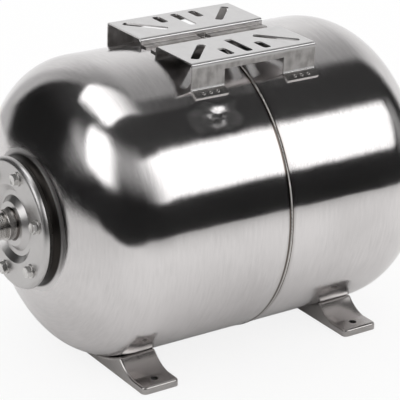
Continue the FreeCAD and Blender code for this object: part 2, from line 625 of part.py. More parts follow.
# Feet: pressed trays that cradle the shell and end in bolting pads
def foot_section(body, name, inset):
    """Side of a foot, or of the hollow under it: floor, pad, hollow curve, crest and cradle. The two curves
    between pad and cradle are held by tangency."""
    sketch = new_sketch(body, name, "YZ_Plane")
    floor, pad = f"-1 * {AXIS_HEIGHT}", f"-1 * {AXIS_HEIGHT} + pad_height - {inset}"
    half, crease = f"foot_length / 2 - {inset}", "foot_length / 2 - pad_length"
    cradle = f"shell_radius + seat_clearance + {inset}"
    hollow, crest = f"foot_hollow_radius + {inset}", f"foot_crest_radius - {inset}"
    hollow_at = Vector(value(crease) + value(hollow) * math.sin(math.radians(value("pad_slope"))),
                       value(pad) + value(hollow) * math.cos(math.radians(value("pad_slope"))), 0)
    reach, gap = value(cradle) + value(crest), value(hollow) + value(crest)
    swing = math.acos((hollow_at.Length ** 2 + reach ** 2 - gap ** 2) / (2 * hollow_at.Length * reach))
    lean = math.atan2(hollow_at.x, -hollow_at.y) - swing
    crest_at = Vector(reach * math.sin(lean), -reach * math.cos(lean), 0)
    crest_top = crest_at * (value(cradle) / reach)
    hollow_top = hollow_at + (crest_at - hollow_at) * (value(hollow) / gap)

    def arc(centre, start, end):
        angles = [math.atan2((spot - centre).y, (spot - centre).x) for spot in (start, end)]
        circle = Part.Circle(centre, Vector(0, 0, 1), (start - centre).Length)
        return sketch.addGeometry(Part.ArcOfCircle(circle, *angles), False)

    def flip(spot):
        return Vector(-spot.x, spot.y, 0)

    corner, pad_end = Vector(value(half), value(floor), 0), Vector(value(half), value(pad), 0)
    bend = Vector(value(crease), value(pad), 0)
    line = [sketch.addGeometry(Part.LineSegment(*ends), False) for ends in (
        (flip(corner), corner), (corner, pad_end), (pad_end, bend), (flip(bend), flip(pad_end)),
        (flip(pad_end), flip(corner)))]
    right_hollow = arc(hollow_at, hollow_top, bend)
    right_crest = arc(crest_at, hollow_top, crest_top)
    saddle = arc(Vector(), flip(crest_top), crest_top)
    left_crest = arc(flip(crest_at), flip(crest_top), flip(hollow_top))
    left_hollow = arc(flip(hollow_at), flip(bend), flip(hollow_top))
    floor_line, right_end, right_pad, left_pad, left_end = line
    join = Sketcher.Constraint
    sketch.addConstraint([
        join("Coincident", floor_line, 2, right_end, 1), join("Coincident", right_end, 2, right_pad, 1),
        join("Coincident", right_pad, 2, right_hollow, 2), join("Coincident", left_pad, 2, left_end, 1),
        join("Coincident", left_end, 2, floor_line, 1), join("Coincident", left_pad, 1, left_hollow, 1),
        join("Tangent", right_hollow, 1, right_crest, 1), join("Tangent", right_crest, 2, saddle, 2),
        join("Tangent", left_hollow, 2, left_crest, 2), join("Tangent", left_crest, 1, saddle, 1),
        join("Coincident", saddle, 3, -1, 1),
    ])
    pin(sketch, floor_line, 2, half, floor)
    pin(sketch, floor_line, 1, f"-1 * ({half})", floor)
    pin(sketch, right_pad, 1, half, pad)
    pin(sketch, left_end, 1, f"-1 * ({half})", pad)
    pin(sketch, right_pad, 2, crease, pad)
    pin(sketch, left_pad, 1, f"-1 * ({crease})", pad)
    for edge, size in ((saddle, cradle), (right_hollow, hollow), (left_hollow, hollow),
                       (right_crest, crest), (left_crest, crest)):
        index = sketch.addConstraint(Sketcher.Constraint("Radius", edge, value(size)))
        tie(sketch, f"Constraints[{index}]", size)
    for edge, sign in ((right_hollow, ""), (left_hollow, "-1 * ")):
        across = f"{sign}({crease} + ({hollow}) * sin(pad_slope))"
        index = sketch.addConstraint(Sketcher.Constraint("DistanceX", -1, 1, edge, 3, value(across)))
        tie(sketch, f"Constraints[{index}]", across)
    return sketch


def foot(label, side):
    body = new_body(label)
    tie(body, "Placement.Base.x", f"{SEAM_X} + {side} * foot_spacing / 2")
    block = padded(body, "Block", foot_section(body, "Side", "0"), "foot_width", both_ways=True)
    half, wide = value("foot_length") / 2, value("foot_width") / 2
    floor = -value(AXIS_HEIGHT)
    top = floor + value("pad_height")

    def upright(edge):
        spot = edge.CenterOfMass
        return abs(abs(spot.y) - half) < CLOSE and abs(abs(spot.x) - wide) < CLOSE

    corners = round_edges(body, "Corners", block, "foot_corner_radius", upright)

    def across_the_top(edge):
        """Lines that run from one side of the foot to the other, inside its rim."""
        box = edge.BoundBox
        return box.YLength < CLOSE and box.ZLength < CLOSE and abs(abs(edge.CenterOfMass.y) - half) > CLOSE

    pad_start = value("foot_length / 2 - pad_length")

    def crease(edge):
        return across_the_top(edge) and abs(abs(edge.CenterOfMass.y) - pad_start) < CLOSE

    creased = round_edges(body, "Creases", corners, "crease_radius", crease)

    def upper(edge):
        box = edge.BoundBox
        return box.ZMax > top - CLOSE and box.ZMin > floor + CLOSE and not across_the_top(edge)

    round_edges(body, "UpperEdges", creased, "foot_edge_radius", upper)
    cut = body.newObject("PartDesign::Pocket", "Hollow")
    cut.Profile = foot_section(body, "HollowSide", "foot_sheet")
    cut.SideType = "Symmetric"
    tie(cut, "Length", "foot_width - 2 * foot_sheet")
    sheet_edge = value("foot_sheet")

    def inner_upright(edge):
        spot = edge.CenterOfMass
        return abs(abs(spot.y) - half + sheet_edge) < CLOSE and abs(abs(spot.x) - wide + sheet_edge) < CLOSE

    round_edges(body, "HollowCorners", cut, "foot_corner_radius - foot_sheet", inner_upright)
    holes = new_sketch(body, "HolePlaces", "XY_Plane")
    for sign in (-1, 1):
        across = f"{sign} * foot_hole_spacing / 2"
        circle = holes.addGeometry(Part.Circle(Vector(0, value(across), 0), Vector(0, 0, 1),
                                               value("foot_hole_radius")), False)
        pin(holes, circle, 3, "0", across)
        size = holes.addConstraint(Sketcher.Constraint("Radius", circle, value("foot_hole_radius")))
        tie(holes, f"Constraints[{size}]", "foot_hole_radius")
    cut_through(body, "AnchorHoles", holes)


foot("front_foot", -1)
foot("rear_foot", 1)


# Pump brackets: bent sheet with a slotted top, legs and tabs that lie on the shell
def bracket(label, side):
    """Bracket on one side of the tank's middle plane: side is 1 for +Y and -1 for -Y."""
    body = new_body(label)
    tie(body, "Placement.Base.x", f"{SEAM_X} + plate_shift")
    sign = "" if side > 0 else "-1 * "
    top = "shell_radius + plate_height"
    seat, skin = "(shell_radius + seat_clearance)", "(shell_radius + seat_clearance + plate_sheet)"

    def on_circle(radius, across):
        return f"sqrt({radius}^2 - ({across})^2)"

    outer_far = "plate_outer_edge"
    outer_near = "(plate_outer_edge - plate_sheet)"
    inner_far = "plate_inner_edge"
    inner_near = "(plate_inner_edge + plate_sheet)"
    # Each tab follows the shell for its own length, as an angle from the leg
    swing = "(tab_length / shell_radius * 180deg / pi)"
    outer_lean = f"(asin(plate_outer_edge / {seat}) + {swing})"
    inner_lean = f"(asin(plate_inner_edge / {seat}) - {swing})"

    def at(radius, lean):
        return f"{sign}({radius} * sin({lean}))", f"{radius} * cos({lean})"

    section = outline(body, "Section", "YZ_Plane", [
        (*at(seat, inner_lean), seat, side),
        at(skin, inner_lean),
        (f"{sign}{inner_far}", on_circle(skin, inner_far), skin, -side),
        (f"{sign}{inner_far}", top),
        (f"{sign}{outer_far}", top),
        (f"{sign}{outer_far}", on_circle(skin, outer_far)),
        (*at(skin, outer_lean), skin, -side),
        at(seat, outer_lean),
        (f"{sign}{outer_near}", on_circle(seat, outer_near), seat, side),
        (f"{sign}{outer_near}", f"{top} - plate_sheet"),
        (f"{sign}{inner_near}", f"{top} - plate_sheet"),
        (f"{sign}{inner_near}", on_circle(seat, inner_near)),
    ])
    sheet_metal = padded(body, "Sheet", section, "plate_length", both_ways=True)

    def near(edge, across, up):
        spot = edge.CenterOfMass
        return (edge.BoundBox.XLength > CLOSE and abs(spot.y - side * value(across)) < CLOSE
                and abs(spot.z - value(up)) < CLOSE)

    outside = round_edges(body, "OuterBends", sheet_metal, "plate_bend_radius", lambda edge: (
        near(edge, outer_far, top) or near(edge, inner_far, top)))
    inside = round_edges(body, "InnerBends", outside, "plate_bend_radius - plate_sheet", lambda edge: (
        near(edge, outer_near, f"{top} - plate_sheet") or near(edge, inner_near, f"{top} - plate_sheet")
        or near(edge, outer_far, on_circle(skin, outer_far))
        or near(edge, inner_far, on_circle(skin, inner_far))))
    window = outline(body, "WindowShape", "XZ_Plane", [
        ("leg_width - plate_length / 2", f"{top} - window_drop"),
        ("plate_length / 2 - leg_width", f"{top} - window_drop"),
        ("plate_length / 2 - leg_width", "plate_outer_edge"),
        ("leg_width - plate_length / 2", "plate_outer_edge"),
    ])
    cut_through(body, "Window", window, backwards=side < 0)
    relief_run = "(plate_inner_edge + plate_sheet + plate_bend_radius)"
    relief = outline(body, "WeldReliefShape", "XZ_Plane", [
        ("-1 * plate_shift - weld_relief / 2", on_circle("shell_radius", relief_run)),
        ("-1 * plate_shift + weld_relief / 2", on_circle("shell_radius", relief_run)),
        ("-1 * plate_shift + weld_relief / 2", f"{skin} + weld_cap_height"),
        ("-1 * plate_shift - weld_relief / 2", f"{skin} + weld_cap_height"),
    ])
    notch = body.newObject("PartDesign::Pocket", "WeldRelief")
    notch.Profile = relief
    notch.Reversed = side < 0
    tie(notch, "Length", relief_run)
    # Three spot welds hold each half of a tab, outside the outer leg and inside the inner one
    spot_swing = "(spot_setback / shell_radius * 180deg / pi)"
    ball_seat = f"({skin} + spot_ball_radius - spot_depth)"
    for lean in (f"(asin(plate_outer_edge / {seat}) + {spot_swing})",
                 f"(asin(plate_inner_edge / {seat}) - {spot_swing})"):
        for end in (-1, 1):
            for step in (-1, 0, 1):
                ball = body.newObject("PartDesign::SubtractiveSphere", "SpotWeld")
                ball.AttachmentSupport = (origin_part(body, "XY_Plane"), [""])
                ball.MapMode = "FlatFace"
                across, up = at(ball_seat, lean)
                tie(ball, "Radius", "spot_ball_radius")
                tie(ball, "AttachmentOffset.Base.x",
                    f"{end} * (plate_length - leg_width) / 2 + {step} * spot_pitch")
                tie(ball, "AttachmentOffset.Base.y", across)
                tie(ball, "AttachmentOffset.Base.z", up)
    slots = new_sketch(body, "SlotPlaces", "XY_Plane")
    middle = "(plate_inner_edge + long_slot_start + long_slot_length / 2)"
    short_middle = "(plate_inner_edge + long_slot_start + long_slot_length - short_slot_length / 2)"
    slanted = "(plate_inner_edge + diagonal_start)"
    places = [
        ("0", middle, "long_slot_length", "90"),
        ("-1 * slot_pitch", short_middle, "short_slot_length", "90"),
        ("slot_pitch", short_middle, "short_slot_length", "90"),
        ("-1 * diagonal_offset", slanted, "diagonal_length", "180 - diagonal_angle"),
        ("diagonal_offset", slanted, "diagonal_length", "diagonal_angle"),
    ]
    for along, across, length, angle in places:
        corners = []
        for end, wing in ((-1, -1), (1, -1), (1, 1), (-1, 1)):
            run, rise = f"{end} * {length} / 2", f"{wing} * slot_width / 2"
            corners.append((f"{along} + {run} * cos({angle}) - {rise} * sin({angle})",
                            f"{sign}({across} + {run} * sin({angle}) + {rise} * cos({angle}))"))
        draw(slots, corners)
    slotted = cut_through(body, "Slots", slots, backwards=True)
    low = value(f"{top} - plate_sheet")

    def slot_corner(edge):
        box, spot = edge.BoundBox, edge.CenterOfMass
        upright = box.XLength < CLOSE and box.YLength < CLOSE and box.ZLength > CLOSE
        between = value("plate_inner_edge + plate_bend_radius") < abs(spot.y) < value(
            "plate_outer_edge - plate_bend_radius")
        return upright and between and box.ZMin > low - CLOSE

    round_edges(body, "SlotCorners", slotted, "slot_corner_radius", slot_corner)


bracket("near_bracket", -1)
bracket("far_bracket", 1)

doc.recompute()
for thing in doc.Objects:
    if "Invalid" in thing.State or "Error" in thing.State:
        raise RuntimeError(f"{thing.Name} failed: {thing.State}")
os.makedirs("parts", exist_ok=True)
for piece in pieces:
    shape = piece.Shape
    if shape.isNull() or not shape.isValid():
        raise RuntimeError(f"{piece.Label} has no valid shape")
    shape.exportStep(f"parts/{piece.Label}.step")
    box = shape.BoundBox
    print(f"{piece.Label}: {len(shape.Solids)} solids, {shape.Volume / 1000:.1f} cm3, "
          f"x {box.XMin:.1f} {box.XMax:.1f}  y {box.YMin:.1f} {box.YMax:.1f}  "
          f"z {box.ZMin:.1f} {box.ZMax:.1f}")
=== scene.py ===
"""Well pressure tank in stainless steel, with its pump brackets, feet and air valve, in a white studio."""
import math

import bmesh
import bpy
from mathutils import Matrix, Vector


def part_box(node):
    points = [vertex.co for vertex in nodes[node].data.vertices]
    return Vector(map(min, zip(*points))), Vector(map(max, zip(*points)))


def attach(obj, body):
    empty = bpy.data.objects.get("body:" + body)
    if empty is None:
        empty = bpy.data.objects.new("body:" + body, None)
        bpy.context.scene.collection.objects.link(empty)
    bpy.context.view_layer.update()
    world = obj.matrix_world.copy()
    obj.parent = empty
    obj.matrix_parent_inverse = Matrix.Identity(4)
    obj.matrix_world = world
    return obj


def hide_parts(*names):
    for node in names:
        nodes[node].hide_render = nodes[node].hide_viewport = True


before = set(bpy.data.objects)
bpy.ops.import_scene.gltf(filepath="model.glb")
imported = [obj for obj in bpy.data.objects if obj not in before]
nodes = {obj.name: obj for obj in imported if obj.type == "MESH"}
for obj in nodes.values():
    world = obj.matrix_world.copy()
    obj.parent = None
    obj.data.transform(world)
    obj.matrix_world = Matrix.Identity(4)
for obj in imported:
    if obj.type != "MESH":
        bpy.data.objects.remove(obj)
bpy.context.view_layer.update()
bpy.context.scene.view_settings.view_transform = "Standard"


# Drawn halves of the shell, the front one with its neck and the rear one with its port.
# Each is deep-drawn from 1.5 mm stainless sheet with a straight side, a knuckle and a dished end, then turned
# against polishing belts, which leave fine rings round the tank.
front_box, rear_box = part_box("front_shell"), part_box("rear_shell")
seam_x = (front_box[1].x + rear_box[0].x) / 2
axis_z = (front_box[0].z + front_box[1].z) / 2
root_half = (rear_box[0].x - front_box[1].x) / 2       # half the gap that the weld's root fills
shell_radius = (front_box[1].z - front_box[0].z) / 2
wall = 0.0015
straight = 0.160               # reach from the seam to the start of the knuckle
knuckle = 0.080
crown = 0.342                  # radius of the dished end
neck_radius = 0.075
neck_fillet = 0.010
neck_end = seam_x - front_box[0].x
port_radius = 0.010
weld_peak = 0.00045            # how far the sheet stands up beside the girth weld
weld_peak_reach = 0.012
around = 288                   # steps round a turned piece
side_steps, skin_steps, inside_steps = 24, 40, 20
sharp_edge = math.radians(30)
crown_middle = straight - math.sqrt((crown - knuckle) ** 2 - (shell_radius - knuckle) ** 2)
crown_angle = math.atan2(shell_radius - knuckle, straight - crown_middle)


def arc(across, up, radius, start, end, steps):
    """Points on an arc in reach from the seam and radius from the axis, without its first one."""
    turns = [start + (end - start) * step / steps for step in range(1, steps + 1)]
    return [(across + radius * math.cos(turn), up + radius * math.sin(turn)) for turn in turns]


def head(depth, last_angle, steps):
    """A head's skin from the start of its knuckle inwards, at a depth under its outside."""
    knuckle_part = arc(straight, shell_radius - knuckle, knuckle - depth,
                       math.pi / 2, crown_angle, steps // 2)
    crown_part = arc(crown_middle, 0, crown - depth, crown_angle, last_angle, steps)
    return [(straight, shell_radius - depth)] + knuckle_part + crown_part


def front_head(depth, steps):
    """The front head with the fillet and the neck that are drawn out of it."""
    middle = neck_radius + neck_fillet
    run = math.sqrt((crown + neck_fillet) ** 2 - middle ** 2)
    lean = math.atan2(middle, run)
    fillet = arc(crown_middle + run, middle, neck_fillet + depth, math.pi + lean, 1.5 * math.pi, steps // 4)
    return head(depth, lean, steps) + fillet + [(neck_end, neck_radius - depth)]


def side_skin(steps):
    """Straight side from the seam out, rising to the girth weld."""
    reaches = [root_half + (straight - root_half) * (step / steps) ** 2 for step in range(steps)]
    return [(reach, shell_radius + weld_peak * math.exp(-(reach / weld_peak_reach) ** 2))
            for reach in reaches]


def turned(name, outline, side=1, shape=None):
    """A closed outline in reach and radius, turned about the tank's axis. side is -1 in front of the seam.
    shape may change a point's radius at an angle round the axis."""
    points, faces, count = [], [], len(outline)
    for step in range(around):
        angle = 2 * math.pi * step / around
        for reach, radius in outline:
            if shape:
                radius = shape(reach, radius, angle)
            across, up = radius * math.sin(angle), radius * math.cos(angle)
            points.append((seam_x + side * reach, across, axis_z + up))
    for step in range(around):
        here, there = step * count, (step + 1) % around * count
        for spot in range(count):
            after = (spot + 1) % count
            faces.append((here + spot, here + after, there + after, there + spot))
    return solid(name, points, faces)


def solid(name, points, faces):
    """A mesh object with its faces turned outwards, smooth but for its sharp edges."""
    mesh = bpy.data.meshes.new(name)
    mesh.from_pydata(points, [], faces)
    build = bmesh.new()
    build.from_mesh(mesh)
    bmesh.ops.remove_doubles(build, verts=build.verts, dist=1e-7)
    bmesh.ops.recalc_face_normals(build, faces=build.faces)
    build.to_mesh(mesh)
    build.free()
    return dressed(name, mesh)


def dressed(name, mesh):
    """A scene object for a mesh that is in its place."""
    mesh.polygons.foreach_set("use_smooth", [True] * len(mesh.polygons))
    mesh.set_sharp_from_angle(angle=sharp_edge)
    piece = bpy.data.objects.new(name, mesh)
    bpy.context.scene.collection.objects.link(piece)
    return piece


class Wire:
    """A node's output that Python's own operators work on."""

    def __init__(self, bench, socket):
        self.bench, self.socket = bench, socket

    def scaled(self, factor):
        """A vector times a number."""
        return self.bench.make("ShaderNodeVectorMath", {"operation": "SCALE"}, {0: self, "Scale": factor})

    def plus(self, other):
        """A vector plus a vector."""
        return self.bench.make("ShaderNodeVectorMath", {"operation": "ADD"}, {0: self, 1: other})

    def math(self, operation, *others):
        return self.bench.make("ShaderNodeMath", {"operation": operation}, dict(enumerate((self, *others))))

    def __add__(self, other):
        return self.math("ADD", other)

    def __sub__(self, other):
        return self.math("SUBTRACT", other)

    def __mul__(self, other):
        return self.math("MULTIPLY", other)

    def __truediv__(self, other):
        return self.math("DIVIDE", other)

    def __rsub__(self, other):
        return self.bench.make("ShaderNodeMath", {"operation": "SUBTRACT"}, {0: other, 1: self})

    def __rtruediv__(self, other):
        return self.bench.make("ShaderNodeMath", {"operation": "DIVIDE"}, {0: other, 1: self})

    __radd__ = __add__
    __rmul__ = __mul__


class Bench:
    """A node tree under construction."""

    def __init__(self, tree):
        self.tree = tree

    def make(self, kind, settings=None, sockets=None, give=0):
        """One node: its settings first, then its sockets by place, identifier or name. Returns the output
        that give names, or the node itself for None."""
        node = self.tree.nodes.new(kind)
        for field, setting in (settings or {}).items():
            setattr(node, field, setting)
        for key, given in (sockets or {}).items():
            socket = self.pick(node.inputs, key)
            if isinstance(given, Wire):
                self.tree.links.new(given.socket, socket)
            else:
                socket.default_value = given
        return node if give is None else Wire(self, self.pick(node.outputs, give))

    @staticmethod
    def pick(sockets, key):
        if isinstance(key, int):
            return sockets[key]
        named = (socket for socket in sockets if key in (socket.identifier, socket.name))
        return next(socket for socket in named if socket.enabled)

    def step(self, value, low, high, start=0.0, end=1.0):
        """A smooth rise from start to end as the value goes from low to high."""
        return self.make("ShaderNodeMapRange", {"interpolation_type": "SMOOTHSTEP"}, {
            "Value": value, "From Min": low, "From Max": high, "To Min": start, "To Max": end})

    def window(self, value, low, low_full, high_full, high):
        """1 between the two full marks and 0 outside of the outer two."""
        return self.step(value, low, low_full) * self.step(value, high_full, high, 1.0, 0.0)

    def blend(self, share, first, second):
        return self.make("ShaderNodeMix", {"data_type": "RGBA"}, {
            "Factor_Float": share, "A_Color": first, "B_Color": second}, "Result_Color")

    def noise(self, vector, scale, detail=2.0, roughness=0.5):
        return self.make("ShaderNodeTexNoise", None, {
            "Vector": vector, "Scale": scale, "Detail": detail, "Roughness": roughness})

    def bump(self, height):
        """A normal that shows a height in metres as relief."""
        return self.make("ShaderNodeBump", None, {"Strength": 1.0, "Distance": 1.0, "Height": height})

    def place(self):
        return self.make("ShaderNodeTexCoord", None, None, "Object")

    def vector(self, x, y, z):
        return self.make("ShaderNodeCombineXYZ", None, {0: x, 1: y, 2: z})

    def parts(self, vector):
        node = self.make("ShaderNodeSeparateXYZ", None, {0: vector}, None)
        return [Wire(self, output) for output in node.outputs]


def finish(name, paint, haze=None, **fixed):
    """A material. paint(bench) gives the wires of the sockets that vary, and fixed holds the ones that don't.
    haze is the share and the roughness of a second, wider gloss that brushing leaves on steel."""
    material = bpy.data.materials.new(name)
    material.use_nodes = True
    material.node_tree.nodes.clear()
    bench = Bench(material.node_tree)
    varying = paint(bench)
    steady = {field.replace("_", " ").title().replace("Ior", "IOR"): setting
              for field, setting in fixed.items()}
    shader = bench.make("ShaderNodeBsdfPrincipled", None, {**steady, **varying})
    if haze:
        wide = bench.make("ShaderNodeBsdfPrincipled", None, {**steady, **varying, "Roughness": haze[1]})
        shader = bench.make("ShaderNodeMixShader", None, {0: haze[0], 1: shader, 2: wide})
    bench.make("ShaderNodeOutputMaterial", None, {"Surface": shader}, None)
    return material


def put_on(piece, material):
    piece.data.materials.clear()
    piece.data.materials.append(material)


def seat(piece, node):
    """The piece rides on the tank and stands for a CAD node, which it hides."""
    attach(piece, "root")
    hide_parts(node)


def ring_frame(bench):
    """Coordinates of a pattern round the tank: reach from the seam, radius, and the two of a unit circle."""
    x, y, z = bench.parts(bench.place())
    reach, height = x - seam_x, z - axis_z
    radius = (y * y + height * height).math("SQRT")
    return reach, radius, y / radius, height / radius


def belt_grain(bench, lines, length, reach, radius, across, up):
    """Fine rings round the tank that break off after a while, as a number of about 0 to 1."""
    meridian = (radius - reach.math("ABSOLUTE")) * lines
    return bench.noise(bench.vector(meridian, across * length, up * length), 1.0, 3.0, 0.6)


burn_reach, clean_reach = 0.003, 0.0075             # heat tint beside the girth weld
shade = (-0.0042, -0.0034, 0.0024, 0.0031)          # reaches of the painted shade along the weld's two edges, in the dark colour of its heat tint
dull_start, dull_full = 0.2498, 0.2515              # reaches at which the gloss ends before the neck
neck_black_start, neck_black_full = 0.2519, 0.2534              # reaches at which the neck turns black
dent_squeeze = 0.55                                 # the dent below the near bracket is longer along the tank
dent_middle = (-0.0247, -0.1142, 0.3386)            # squeezed, and shifted by the mean of its edge's waver
dent_radius = 0.030
dent_waver = 0.022


def polished_shell(bench):
    """Mirror polish with fine rings and shallow waves, one dent, heat marks and painted shade at the girth
    weld.
    """
    reach, radius, across, up = ring_frame(bench)
    fine = belt_grain(bench, 1500, 9, reach, radius, across, up)
    broad = belt_grain(bench, 260, 6, reach, radius, across, up)
    place = bench.place()
    waves = bench.noise(place, 22, 1.0)
    cloud = bench.noise(place, 9, 3.0)
    burn = bench.step(reach.math("ABSOLUTE"), burn_reach, clean_reach, 1.0, 0.0) * bench.noise(place, 60, 2.0)
    # heat tint beside the weld, and painted shade: the same dark colour in a thin band along each edge of the
    # bead
    heat_tint_and_weld_shade = (burn * 0.5).math("MAXIMUM", bench.window(reach, *shade))
    dull = bench.step(reach * -1.0, dull_start, dull_full) * 0.38
    neck_black = bench.step(reach * -1.0, neck_black_start, neck_black_full)
    streak = bench.step(fine * 0.3 + broad * 0.25 + cloud * 0.45, 0.38, 0.62)
    steel = bench.blend(streak, (0.595, 0.577, 0.575, 1), (0.69, 0.67, 0.668, 1))
    x, y, z = bench.parts(place)
    waver = bench.make("ShaderNodeTexNoise", None, {"Vector": place, "Scale": 34.0, "Detail": 1.0}, "Color")
    wavering = bench.vector(x * dent_squeeze, y, z).plus(waver.scaled(dent_waver))
    far_off = bench.make("ShaderNodeVectorMath", {"operation": "DISTANCE"},
                         {0: wavering, 1: dent_middle}, "Value")
    dent = bench.step(far_off, 0.0, dent_radius, 1.0, 0.0)
    dent_depth = bench.noise(place, 110, 1.5) * 0.9e-3 + 2.9e-3
    gloss = bench.step(fine * 0.5 + cloud * 0.5, 0.3, 0.7, 0.06, 0.11)
    return {
        "Base Color": bench.blend(neck_black, bench.blend(heat_tint_and_weld_shade, steel, (0.13, 0.108, 0.095, 1)),
                                  (0.028, 0.025, 0.023, 1)),
        "Roughness": gloss.math("MAXIMUM", dull).math("MAXIMUM", bench.step(dent, 0.0, 0.3) * 0.22),
        "Normal": bench.bump(fine * 6e-5 + broad * 4e-5 + waves * 1.6e-4 - dent * dent * dent_depth),
    }


shell_steel = finish("shell_steel", polished_shell, (0.03, 0.35), metallic=1.0)
front_skin = side_skin(side_steps) + front_head(0, skin_steps)
front_inside = [(root_half, shell_radius - wall)] + front_head(wall, inside_steps)
front = turned("front_shell_drawn", front_skin + front_inside[::-1], -1)
rear_end = [math.asin(port_radius / (crown - depth)) for depth in (0, wall)]
rear_skin = side_skin(side_steps) + head(0, rear_end[0], skin_steps)
rear_inside = [(root_half, shell_radius - wall)] + head(wall, rear_end[1], inside_steps)
rear = turned("rear_shell_drawn", rear_skin + rear_inside[::-1])
for half, node in ((front, "front_shell"), (rear, "rear_shell")):
    put_on(half, shell_steel)
    seat(half, node)


# Girth weld between the two halves.
# A machine-laid bead with its solidified ripples, brushed but not ground off, a little darker than the sheet.
bead_half = 0.0023
bead_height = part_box("girth_weld")[1].z - axis_z - shell_radius
bead_swell = 1.2               # its highest spots over its mean height
bead_root = 0.0012
ripple_pitch = 0.0017
ripple_depth = 0.00013
bead_steps = 2900
bead_across = 12


def converted(name, tree, inputs, source=None):
    """The plain mesh that a Geometry Nodes tree makes on a source mesh, or on nothing."""
    carrier = bpy.data.objects.new(name, source or bpy.data.meshes.new(name))
    bpy.context.scene.collection.objects.link(carrier)
    shaping = carrier.modifiers.new("shape", "NODES")
    shaping.node_group = tree
    for item in tree.interface.items_tree:
        if item.item_type == "SOCKET" and item.in_out == "INPUT" and item.name in inputs:
            shaping[item.identifier] = inputs[item.name]
    bpy.context.view_layer.update()
    shaped = carrier.evaluated_get(bpy.context.evaluated_depsgraph_get())
    mesh = bpy.data.meshes.new_from_object(shaped)
    bpy.data.objects.remove(carrier)
    mesh.name = name
    return dressed(name, mesh)


def tree_with(name, inputs):
    """An empty Geometry Nodes tree with named inputs. Returns its bench and its inputs by name."""
    tree = bpy.data.node_groups.new(name, "GeometryNodeTree")
    tree.interface.new_socket("Geometry", in_out="INPUT", socket_type="NodeSocketGeometry")
    tree.interface.new_socket("Geometry", in_out="OUTPUT", socket_type="NodeSocketGeometry")
    for label, kind in inputs.items():
        tree.interface.new_socket(label, in_out="INPUT", socket_type=f"NodeSocket{kind}")
    bench = Bench(tree)
    entry = bench.make("NodeGroupInput", None, None, None)
    given = {socket.name: Wire(bench, socket) for socket in entry.outputs if socket.name}
    return bench, given


def ends_with(bench, geometry, material):
    """The end of a tree: its copies made real and given their finish."""
    real = bench.make("GeometryNodeRealizeInstances", None, {0: geometry})
    coated = bench.make("GeometryNodeSetMaterial", None, {"Geometry": real, "Material": material})
    bench.make("NodeGroupOutput", None, {0: coated}, None)


def bead_tree():
    """A grid rolled into a ring: across it the rounded section of the bead, along it the ripples."""
    bench, given = tree_with("bead", {
        "Radius": "Float", "Half Width": "Float", "Height": "Float", "Ripples": "Float", "Depth": "Float",
        "Root": "Float", "Steps": "Int", "Across": "Int", "Finish": "Material"})
    grid = bench.make("GeometryNodeMeshGrid", None, {
        "Size X": 1.0, "Size Y": 1.0, "Vertices X": given["Steps"], "Vertices Y": given["Across"]})
    along, share, _ = bench.parts(bench.make("GeometryNodeInputPosition"))
    turn = (along + 0.5) * (2 * math.pi)
    side = 1.0 - share.math("ABSOLUTE") * 4
    crest = 1.0 - side * side
    circle = bench.vector(0.0, turn.math("SINE"), turn.math("COSINE"))
    wander = bench.noise(circle, 14, 2.0) - 0.5
    uneven = bench.noise(circle, 5, 1.0) - 0.5
    chevron = side * side * 2.2
    ripple = (turn * given["Ripples"] + chevron + uneven * 9).math("SINE")
    above = share.math("GREATER_THAN", 0.0)
    rise = given["Height"] * crest * (1.0 + uneven * 0.25) + ripple * given["Depth"] * crest
    radius = given["Radius"] + rise * above - given["Root"] * crest * (1.0 - above)
    reach = side * given["Half Width"] * (1.0 + wander * 0.35) + wander * 0.0008 + seam_x
    spot = bench.vector(reach, radius * turn.math("SINE"), radius * turn.math("COSINE") + axis_z)
    rolled = bench.make("GeometryNodeSetPosition", None, {"Geometry": grid, "Position": spot})
    closed = bench.make("GeometryNodeMergeByDistance", None, {"Geometry": rolled, "Distance": 1e-6})
    ends_with(bench, closed, given["Finish"])
    return bench.tree


def weld_metal(bench):
    """Bright ripples with a thin scale, and painted shade darkening both toes."""
    reach = ring_frame(bench)[0]
    place = bench.place()
    scale = bench.noise(place, 260, 3.0)
    tint = bench.noise(place, 45, 2.0)
    # painted shade: the bead's colour darkens towards both toes, where its flanks turn away
    toe_shade = bench.step(reach.math("ABSOLUTE") + tint * 0.0006, 0.0010, 0.0019)
    bump = bench.bump(scale * 2e-5)
    return {
        "Base Color": bench.blend(toe_shade, bench.blend(tint, (0.40, 0.38, 0.365, 1), (0.66, 0.64, 0.62, 1)),
                                  (0.09, 0.08, 0.074, 1)),
        "Roughness": bench.step(scale, 0.3, 0.7, 0.12, 0.24),
        "Normal": bump,
    }


weld_steel = finish("weld_steel", weld_metal, metallic=1.0)
bead = converted("girth_weld_drawn", bead_tree(), {
    "Radius": shell_radius, "Half Width": bead_half, "Height": bead_height / bead_swell, "Root": bead_root,
    "Ripples": round(2 * math.pi * shell_radius / ripple_pitch), "Depth": ripple_depth,
    "Steps": bead_steps, "Across": 2 * bead_across + 1, "Finish": weld_steel})
seat(bead, "girth_weld")


# Neck ring and its fillet weld.
# The ring is laser-cut plate, welded round the neck of the front head. Ring, weld and neck are near-black.
def dark_neck(bench):
    """Near-black steel with little gloss and faint rings."""
    reach, radius, across, up = ring_frame(bench)
    grain = bench.noise(bench.vector(reach * 1200 + radius * 1200, across * 9, up * 9), 1.0, 3.0)
    bump = bench.bump(grain * 1.5e-5)
    return {"Base Color": bench.blend(grain, (0.014, 0.013, 0.012, 1), (0.034, 0.031, 0.028, 1)),
            "Roughness": bench.step(grain, 0.3, 0.7, 0.25, 0.35), "Normal": bump}


neck_steel = finish("neck_steel", dark_neck, specular_ior_level=0.15)
put_on(nodes["neck_ring"], neck_steel)
put_on(nodes["neck_weld"], neck_steel)


